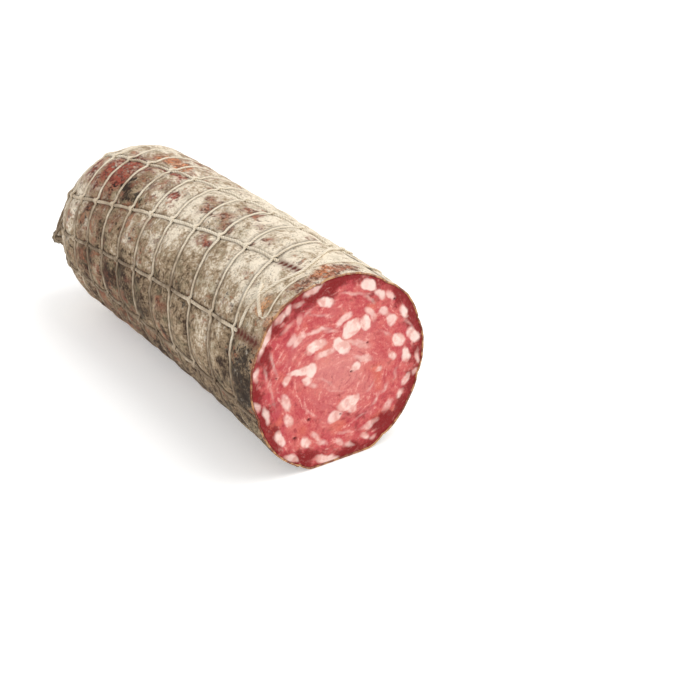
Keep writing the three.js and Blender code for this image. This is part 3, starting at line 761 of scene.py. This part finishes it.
MOULD_SHADE, MOULD_GREY, MOULD_CREAM = paint(54, 37, 25), paint(160, 137, 109), paint(238, 225, 204)
MOULD_GREEN, BLACK_MOULD, BLOOM = paint(138, 130, 102), paint(38, 26, 18), paint(218, 206, 188)
UNDER_DARK, UNDER_PALE = paint(92, 56, 42), paint(146, 86, 66)
RUST_PALE, RUST_DARK = paint(170, 112, 84), paint(88, 44, 34)
SPECK_BROWN, FINE_SPECK_BROWN = paint(70, 58, 44), paint(62, 50, 40)
DIRT_AND_SHADE_BROWN, IMPRINT_BROWN = paint(46, 29, 20), paint(98, 50, 40)
EDGE_BROWN, EDGE_TAN = paint(124, 58, 42), paint(196, 146, 100)
# What shows in the bare spots: where it starts, and its colour before it is mottled
BARE_SHADES = {"rust": (0.34, (146, 88, 66)), "red": (0.3, (146, 64, 50)),
               "orange": (0.3, (196, 122, 82)), "tan": (0.3, (206, 150, 106))}
LIGHTER, DARKER = 1.12, 0.62

skin = Finish("moulded gut casing")
blotch = skin.noise(110, 5, 0.62, 0.4)
patch = skin.noise(330, 5, 0.62)
speck = skin.noise(900, 4, 0.6)
dust = skin.noise(2200, 3, 0.6)
# The pale value carries painted light and painted shade as well as the mould's own tone
tone = skin.value("pale") + blotch.swing(1.6) + patch.swing(1.4) + speck.swing(1.4)
tone = tone + dust.swing(0.9) + 0.02
mould = skin.blend(MOULD_SHADE, MOULD_GREY, tone.step(-0.1, 0.5))
mould = skin.blend(mould, MOULD_CREAM, tone.step(0.42, 1.03))
mould = skin.blend(mould, MOULD_GREEN, skin.noise(160, 3, 0.5).step(0.5, 0.7) * 0.32)
worn = skin.value("thin") + skin.noise(230, 6, 0.7, 0.2).swing(2.0) + speck.swing(0.8)
under = skin.blend(UNDER_DARK, UNDER_PALE, skin.noise(140, 2, 0.5).step(0.4, 0.6))
mould = skin.blend(mould, under, worn.step(0.44, 0.84) * 0.78)
dusting = skin.noise(560, 4, 0.65, 0.4).step(0.5, 0.62)
islands = skin.noise(105, 5, 0.62, 0.8) + (skin.value("thin") - 0.45) * 0.16
rusty = skin.blend(RUST_PALE, RUST_DARK, (patch + speck.swing(1.2)).step(0.38, 0.64))
mould = skin.blend(mould, rusty, islands.step(0.56, 0.63) * (0.72 - dusting * 0.5))
mottle = (patch + speck.swing(1.4)).step(0.36, 0.66)
for name, (low, shade) in BARE_SHADES.items():
    shown = (skin.value(name) + patch.swing(0.9) + speck.swing(0.9)).step(low, low + 0.42)
    mottled = skin.blend(paint(*(c * LIGHTER for c in shade)),
                         paint(*(c * DARKER for c in shade)), mottle)
    mould = skin.blend(mould, mottled, shown * (0.95 - dusting * 0.5))
black = (skin.value("dark") * 1.15 + patch.swing(2.6) + speck.swing(2.0)).step(0.44, 0.78)
mould = skin.blend(mould, BLACK_MOULD, black * (0.94 - dusting * 0.3))
specks = skin.noise(520, 3, 0.7).step(0.6, 0.69)
mould = skin.blend(mould, SPECK_BROWN, specks * 0.7)
fine_specks = skin.noise(1250, 3, 0.7).step(0.57, 0.68)
mould = skin.blend(mould, FINE_SPECK_BROWN, fine_specks * 0.62)
bloom = skin.noise(300, 4, 0.6).step(0.58, 0.7)
mould = skin.blend(mould, BLOOM, bloom * 0.45 * tone.step(0.1, 0.6))
# Painted shade and dirt: a dark brown line beside the twine
mould = skin.blend(mould, DIRT_AND_SHADE_BROWN, skin.value("dirt_and_shade_by_twine") * 0.86 * blotch.step(0.2, 0.5))
mould = skin.blend(mould, IMPRINT_BROWN, skin.value("imprint") * 1.3)
edge_paint = skin.blend(EDGE_BROWN, EDGE_TAN, skin.noise(240, 3, 0.6).step(0.42, 0.6))
edge_shown = (skin.value("edge") + patch.swing(0.8)).step(0.45, 0.8)
mould = skin.blend(mould, edge_paint, edge_shown * 0.85)
gloss = skin.value("red") * 0.16 + skin.value("orange") * 0.2 + skin.value("tan") * 0.25
casing.data.materials.append(skin.close({
    "Base Color": mould,
    "Roughness": (0.9 - gloss.kept() + patch.swing(0.12)).kept(),
    "Normal": skin.bump(0.7, 0.0011, blotch * 0.6 + patch * 0.5 + speck * 0.28 + dust * 0.12),
    "Specular IOR Level": 0.25,
}))
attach(casing, "root")
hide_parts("casing")

# ------------ Strands
# Eight lengths of cotton twine run along the log from the cut to the tied end, three plies twisted
# together. They were tied on before hanging and have sunk into the casing as it swelled and dried.


def even_steps(route, step, closed=False):
    """The same route, with points an even step apart."""
    if closed:
        route = np.concatenate([route, route[:1]])
    run = np.concatenate([[0], np.cumsum(np.linalg.norm(np.diff(route, axis=0), axis=1))])
    count = max(int(round(run[-1] / step)), 4)
    at = np.linspace(0, run[-1], count + 1)
    points = np.stack([np.interp(at, run, route[:, k]) for k in range(3)], -1)
    return (points[:-1] if closed else points), run[-1]


# The outline of three plies
SECTION = np.arange(15) * 2 * np.pi / 15
LOBES = 0.80 + 0.20 * np.abs(np.cos(1.5 * (SECTION + np.pi / 3))) ** 0.75
# How much darker twine is painted by its turn from where the casing is palest, and how much more
# far
# along: partly stain, and partly painted shade on its side away from the key light
STAIN_AND_SHADE_AT = ([0, 50, 80, 110, 150, 180], [-0.05, 0.12, 0.5, 0.8, 0.9, 0.9])
FAR_STAIN = 0.12


class Twine:
    """One or more lengths of twisted twine that make one piece."""

    def __init__(self, name, material, mould_and_painted_light=0.0):
        self.name, self.material, self.mould_and_painted_light = name, material, mould_and_painted_light
        self.corners, self.faces, self.crowns = [], [], []

    def length(self, route, thick, closed=False, pitch=5.2, taper=0.0):
        """Adds one length: its plies turn once in a pitch, and it may taper at both ends."""
        route, total = even_steps(np.asarray(route), 0.5 * max(thick, 0.5) + 0.22, closed)
        count, sides = len(route), len(SECTION)
        if closed:
            way = np.roll(route, -1, 0) - np.roll(route, 1, 0)
        else:
            way = np.gradient(route, axis=0)
        way /= np.linalg.norm(way, axis=1, keepdims=True)
        out = route * [0, 1, 1]
        out -= way * np.sum(out * way, 1, keepdims=True)
        out /= np.maximum(np.linalg.norm(out, axis=1, keepdims=True), 1e-6)
        side = np.cross(way, out)
        turns_made = round(total / pitch) if closed else total / pitch
        twist = np.linspace(0, 2 * np.pi * turns_made, count, endpoint=not closed)
        uneven = 1 + 0.07 * grain(route, 3.0, 61) + 0.05 * grain(route, 1.2, 62)
        if taper:
            end = np.minimum(np.arange(count), np.arange(count)[::-1]) * total / count
            uneven = uneven * np.clip(end / taper, 0.35, 1) ** 0.5
        angles = SECTION[None] + twist[:, None]
        reach = thick * LOBES[None] * uneven[:, None]
        rings = (route[:, None] + out[:, None] * (np.cos(angles) * reach)[..., None]
                 + side[:, None] * (np.sin(angles) * reach)[..., None])
        first = sum(len(c) for c in self.corners)
        j, i = np.meshgrid(np.arange(count if closed else count - 1), np.arange(sides),
                           indexing="ij")
        below, beside = (j + 1) % count, (i + 1) % sides
        quads = np.stack([j * sides + i, below * sides + i,
                          below * sides + beside, j * sides + beside], -1)
        self.faces += (quads.reshape(-1, 4) + first).tolist()
        corners, crowns = rings.reshape(-1, 3), np.tile(LOBES, count)
        if not closed:
            poles = [route[0] - way[0] * thick * 0.25, route[-1] + way[-1] * thick * 0.25]
            head, tail = first + count * sides, first + count * sides + 1
            last = first + (count - 1) * sides
            for k in range(sides):
                after = (k + 1) % sides
                self.faces.append([head, first + k, first + after])
                self.faces.append([tail, last + after, last + k])
            corners = np.concatenate([corners, poles])
            crowns = np.concatenate([crowns, [0.85, 0.85]])
        self.corners.append(corners)
        self.crowns.append(crowns)

    def make(self):
        corners = np.concatenate(self.corners)
        piece = smooth_piece(self.name, corners, self.faces)
        turn = np.degrees(np.arctan2(-corners[:, 1], corners[:, 2] + 2))
        stain_and_shade = np.interp(np.abs(turned_from(PALEST_LIT_ANGLE, turn)), *STAIN_AND_SHADE_AT)
        stain_and_shade = stain_and_shade + FAR_STAIN * ramp(-corners[:, 0], 60, 120) + self.mould_and_painted_light
        stain_and_shade = stain_and_shade + 0.30 * grain(corners, 14.0, 63) + 0.18 * grain(corners, 4.0, 64)
        mark(piece, "crown", np.concatenate(self.crowns))
        mark(piece, "stain_and_shade", stain_and_shade)
        piece.data.materials.append(self.material)
        return piece


COTTON_CREAM, COTTON_WHITE = paint(238, 224, 200), paint(252, 243, 226)
PLY_SHADE, STAIN_AND_SHADE_TAN, STAIN_AND_SHADE_BROWN = paint(176, 158, 126), paint(188, 167, 140), paint(112, 90, 68)

cotton = Finish("cotton net twine")
lint = cotton.noise(2600, 4, 0.7)
smudge = cotton.noise(380, 4, 0.6)
thread = cotton.blend(COTTON_CREAM, COTTON_WHITE, lint.step(0.4, 0.65))
thread = cotton.blend(thread, PLY_SHADE, cotton.value("crown").step(0.93, 0.80) * 0.7)
# Stain and painted shade: the twine is browner away from the key light and where it is stained
stained_and_shaded = cotton.value("stain_and_shade") + smudge.swing(0.9)
thread = cotton.blend(thread, STAIN_AND_SHADE_TAN, stained_and_shaded.step(0.1, 0.6) * 0.75)
thread = cotton.blend(thread, STAIN_AND_SHADE_BROWN, stained_and_shaded.step(0.45, 1.0) * 0.8)
cotton_finish = cotton.close({
    "Base Color": thread,
    "Roughness": (0.88 + lint.swing(0.15)).kept(),
    "Normal": cotton.bump(0.6, 0.0003, lint + smudge * 0.3),
    "Specular IOR Level": 0.2,
    "Sheen Weight": 0.15,
})


def fit_twine(piece, node):
    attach(piece, "root")
    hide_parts(node)


def averaged(values, count):
    return np.convolve(values, np.ones(count) / count, mode="valid")


def clear_of_table(route, thick, gap=0.05):
    """The route, raised where needed so that twine round it lies on the table."""
    route[:, 2] = np.maximum(route[:, 2], thick + gap - REST_HEIGHT)
    return route


STRAND_LIE = 0.62 * STRAND_THICK
STUB, END_MARGIN, SMOOTHED, STRAND_MOULD = 2.6, 1.2, 7, 0.1
TIP_BAND, STRAND_END_LINE = TIP_LINE - 1, 13.93
strand_first_lines = [PULLED_LINE, FIRST_HOOP_LINE, FIRST_HOOP_LINE, 0, 0, 0, 0, 0]
along = np.concatenate([
    np.linspace(0, TIP_BAND, 1000)[:-1], np.linspace(TIP_BAND, STRAND_END_LINE, 120)])
for k, first_line in enumerate(strand_first_lines):
    place, out, s, _ = skin_point(along, k)
    start = net_place([first_line], k)[0][0] + (-STUB if first_line else END_MARGIN)
    route = (place + out * STRAND_LIE)[s >= start]
    half = SMOOTHED // 2
    for axis in range(3):
        route[half:-half, axis] = averaged(route[:, axis], SMOOTHED)
    name = "strand_" + "abcdefgh"[k]
    strand = Twine(name + "_twine", cotton_finish, STRAND_MOULD)
    strand.length(clear_of_table(route, STRAND_THICK), STRAND_THICK)
    fit_twine(strand.make(), name)

# ------------ Hoops
# Twelve turns of thinner twine go round the log. Each passes over every strand and takes a hitch
# round it, which draws the casing in and makes the meshes of the net.

HOOP_LIE = 0.66 * HOOP_THICK
OVER_STRAND = STRAND_LIE + STRAND_THICK + 0.62 * HOOP_THICK
OVER_WIDTH = 1.7
HOOP_PITCH, HITCH_PITCH, HITCH_THICK = 4.4, 3.1, HOOP_THICK * 0.86
HITCH_REACH, HITCH_AHEAD, HITCH_SLANT = STRAND_THICK + 0.42 * HOOP_THICK, 1.05, 0.55
# Two strands begin at the first hoop and are not hitched to it
UNHITCHED = [(0, 1), (0, 2)]

for i in range(HOOP_COUNT):
    line = float(i + FIRST_HOOP_LINE)
    around = np.linspace(0, STRAND_COUNT, 961)[:-1]
    place, out, s, _ = skin_point(line, around)
    height = lerp(HOOP_LIE, OVER_STRAND, bell(off_strand(around, s), OVER_WIDTH))
    hoop = Twine(f"hoop_{i + 1}_twine", cotton_finish)
    hoop.length(clear_of_table(place + out * height[:, None], HOOP_THICK), HOOP_THICK,
                closed=True, pitch=HOOP_PITCH)
    for k in range(STRAND_COUNT):
        if (i, k) in UNHITCHED:
            continue
        on_skin, outwards, _, _ = skin_point([line, line + 0.11], k)
        middle = on_skin + outwards * STRAND_LIE
        way = middle[1] - middle[0]
        way /= np.linalg.norm(way)
        up = outwards[0]
        side = np.cross(way, up)
        turn = np.linspace(0, 2 * np.pi, 40)[:-1]
        ring = (middle[0] + way * (HITCH_AHEAD + HITCH_SLANT * np.sin(turn))[:, None]
                + up * (HITCH_REACH * np.cos(turn))[:, None]
                + side * (HITCH_REACH * np.sin(turn))[:, None])
        hoop.length(clear_of_table(ring, HOOP_THICK), HITCH_THICK,
                    closed=True, pitch=HITCH_PITCH)
    fit_twine(hoop.make(), f"hoop_{i + 1}")

# ------------ Loose twine at the cut
# The cut went through one turn of the net. Its twine was pulled back over the first strand and lies
# slack near the cut, with a second thin turn beside it and a frayed tail from the knot.

LOOSE_THICK, LOOSE_PITCH = 0.46, 3.4
PULLED_FROM, PULLED_TO = 1.95, -0.25
around = np.linspace(PULLED_FROM, PULLED_TO, 440)
place, out, _, _ = skin_point(PULLED_LINE, around)
over = lerp(HOOP_LIE + 0.1, OVER_STRAND, bell(np.abs(around) * MESH_WIDTH, 1.9))
pulled = Twine("pulled_back_twine", cotton_finish)
pulled.length(place + out * over[:, None], HOOP_THICK * 1.1, pitch=HOOP_PITCH, taper=1.2)
fit_twine(pulled.make(), "pulled_twine")


def loose_route(points, height, steps=14, smoothed=13):
    """A smooth route over the casing through places given as angle and distance from the cut,
    with the places along it."""
    points = np.array(points, float)
    last = len(points) - 1
    fine = np.linspace(0, last, len(points) * steps)
    before = np.clip(np.floor(fine).astype(int), 0, last - 1)
    f = (fine - before)[:, None]
    p = [points[np.clip(before + k, 0, last)] for k in (-1, 0, 1, 2)]
    curve = 0.5 * (2 * p[1] + (p[2] - p[0]) * f + (2 * p[0] - 5 * p[1] + 4 * p[2] - p[3]) * f ** 2
                   + (3 * p[1] - p[0] - 3 * p[2] + p[3]) * f ** 3)
    flat = log_point(curve[:, 0], curve[:, 1])
    out = log_normal(curve[:, 0], curve[:, 1])
    skin_corners = outer.reshape(-1, 3)
    near = np.array([skin_corners[np.argmin(np.sum((skin_corners - q) ** 2, 1))] for q in flat])
    lift = averaged(np.pad(np.sum((near - flat) * out, 1), smoothed // 2, "edge"), smoothed)
    return flat + out * (lift + height)[:, None], curve


SECOND_PLACES = [(5, 14), (-4, 13.6), (-14, 13.4), (-25, 13.6), (-36, 14.4), (-46, 15.5)]
route, _ = loose_route(SECOND_PLACES, LOOSE_THICK * 0.7)
second = Twine("second_turn_twine", cotton_finish)
second.length(route, LOOSE_THICK, pitch=LOOSE_PITCH, taper=1.0)
fit_twine(second.make(), "second_twine")

# The tail is thick where it starts, and frayed at that end
TAIL_PLACES = [(31, 24), (36, 19), (40, 16), (43.5, 12), (45, 8.4), (42, 6.6), (35, 8),
               (27, 9.6), (18, 10.6), (12, 10.4)]
THICK_SHARE, FRAYED_ENDS, FIBRE_THICK = 0.4, 9, 0.14
route, curve = loose_route(TAIL_PLACES, LOOSE_THICK * 0.8)
over = bell(curve[:, 1] - pulled_place(curve[:, 0]), 2.6) * 2 * HOOP_THICK
route = route + log_normal(curve[:, 0], curve[:, 1]) * over[:, None]
tail = Twine("frayed_tail_twine", cotton_finish)
bend = int(len(route) * THICK_SHARE)
tail.length(route[:bend + 1], LOOSE_THICK * 2.0, pitch=4.2, taper=0.6)
tail.length(route[bend:], LOOSE_THICK * 0.9, pitch=LOOSE_PITCH, taper=1.5)
fray = np.random.default_rng(7)
start, way = route[0], route[0] - route[6]
way /= np.linalg.norm(way)
up = log_normal(*TAIL_PLACES[0])
side = np.cross(way, up)
for _ in range(FRAYED_ENDS):
    spread = fray.uniform(-0.55, 0.55)
    lift = fray.uniform(0.0, 0.5)
    run = np.linspace(0, fray.uniform(2.0, 4.2), 9)[:, None]
    rise = lift * run - 0.06 * run ** 2
    tail.length(start - way * 0.8 + way * run + side * spread * run + up * rise, FIBRE_THICK,
                pitch=2.0, taper=1.5)
fit_twine(tail.make(), "twine_tail")

# ------------ End tie
# The gathered end of the casing is bound with two turns of the hoops' twine, pulled tight. They
# are knotted low on the far side, and the two ends are left short.

# The tie is painted paler than the other twine, as painted light on its side away from the key
# light
TIE_RADIUS, TIE_TURNS, TIE_PAINTED_LIGHT = 3.05, 2.12, -0.45
turn = np.linspace(-0.25, TIE_TURNS * 2 * np.pi, 120)
tie = Twine("end_tie_twine", cotton_finish, TIE_PAINTED_LIGHT)
tie.length(round_line(tip[0] - 0.35 - 0.05 * turn, tip[1], tip[2], TIE_RADIUS, turn), HOOP_THICK,
           pitch=4.0, taper=0.8)
knot = np.linspace(0, 2 * np.pi, 50)[:-1]
knot_loop = np.stack([0.5 * np.sin(knot), 1.2 * np.cos(knot), 1.0 * np.sin(2 * knot)], -1)
knot_middle = tip + np.array([-0.9, 2.8, -2.4])
tie.length(knot_middle + knot_loop, HOOP_THICK * 0.9, closed=True, pitch=3.0)
for hand in (-1, 1):
    run = np.linspace(0, 1, 16)
    end = np.stack([-0.8 * run + 0.9 * run ** 2, 2.6 * run,
                    hand * (0.4 + 2.6 * run) - 1.0 * run ** 2], -1)
    tie.length(knot_middle + end, HOOP_THICK * 0.8, pitch=3.4, taper=0.8)
fit_twine(tie.make(), "end_tie")

# ------------ Floor, light and camera
# A pale floor that runs out of sight, a large soft light from behind on the right, a weaker one
# near the viewer and an even white surround.

FLOOR_REACH, FLOOR_DROP = 12.0, 0.0002
floor_mesh = bpy.data.meshes.new("pale_floor")
floor_mesh.from_pydata(
    [(x * FLOOR_REACH, y * FLOOR_REACH, 0) for x, y in [(-1, -1), (1, -1), (1, 1), (-1, 1)]],
    [], [(0, 1, 2, 3)])
floor = put_in_scene("pale_floor", floor_mesh)
floor.location.z = -FLOOR_DROP
ground = Finish("pale floor")
ground_paint = ground.blend(
    paint(244, 244, 244), paint(250, 250, 250), ground.noise(3.0))
floor_mesh.materials.append(ground.close({
    "Base Color": ground_paint,
    "Roughness": 0.9,
    "Specular IOR Level": 0.1,
    "Emission Color": paint(255, 255, 255),
    "Emission Strength": 0.3,
}))

LIT_PLACE = Vector((0, 0, 0.03))


def soft_light(name, place, size, power, colour):
    light = bpy.data.lights.new(name, "AREA")
    light.shape = "DISK"
    light.size = size
    light.energy = power
    light.color = colour
    lamp = put_in_scene(name, light)
    lamp.location = place
    lamp.rotation_euler = (LIT_PLACE - Vector(place)).to_track_quat("-Z", "Y").to_euler()


soft_light("key_light", (0.40, 0.60, 1.30), 1.3, 11, (1.0, 0.985, 0.95))
soft_light("front_light", (1.3, -0.9, 0.9), 1.2, 2.5, (1.0, 0.99, 0.98))

surround = bpy.data.worlds.new("white_surround")
surround.use_nodes = True
backdrop = surround.node_tree.nodes["Background"]
backdrop.inputs["Color"].default_value = (1, 1, 1, 1)
backdrop.inputs["Strength"].default_value = 0.78
bpy.context.scene.world = surround

CAMERA_FROM_CUT, CAMERA_TURN = np.array([642.81, -438.94, 460.19]), [60, 0, 55.31]
lens = bpy.data.cameras.new("view")
lens.sensor_width = 36
lens.lens = 108
lens.clip_start = 0.05
camera = put_in_scene("view", lens)
camera.location = middle_of_cut + CAMERA_FROM_CUT * MM
camera.rotation_euler = np.radians(CAMERA_TURN)
bpy.context.scene.camera = camera
bpy.context.scene.view_settings.view_transform = "Standard"
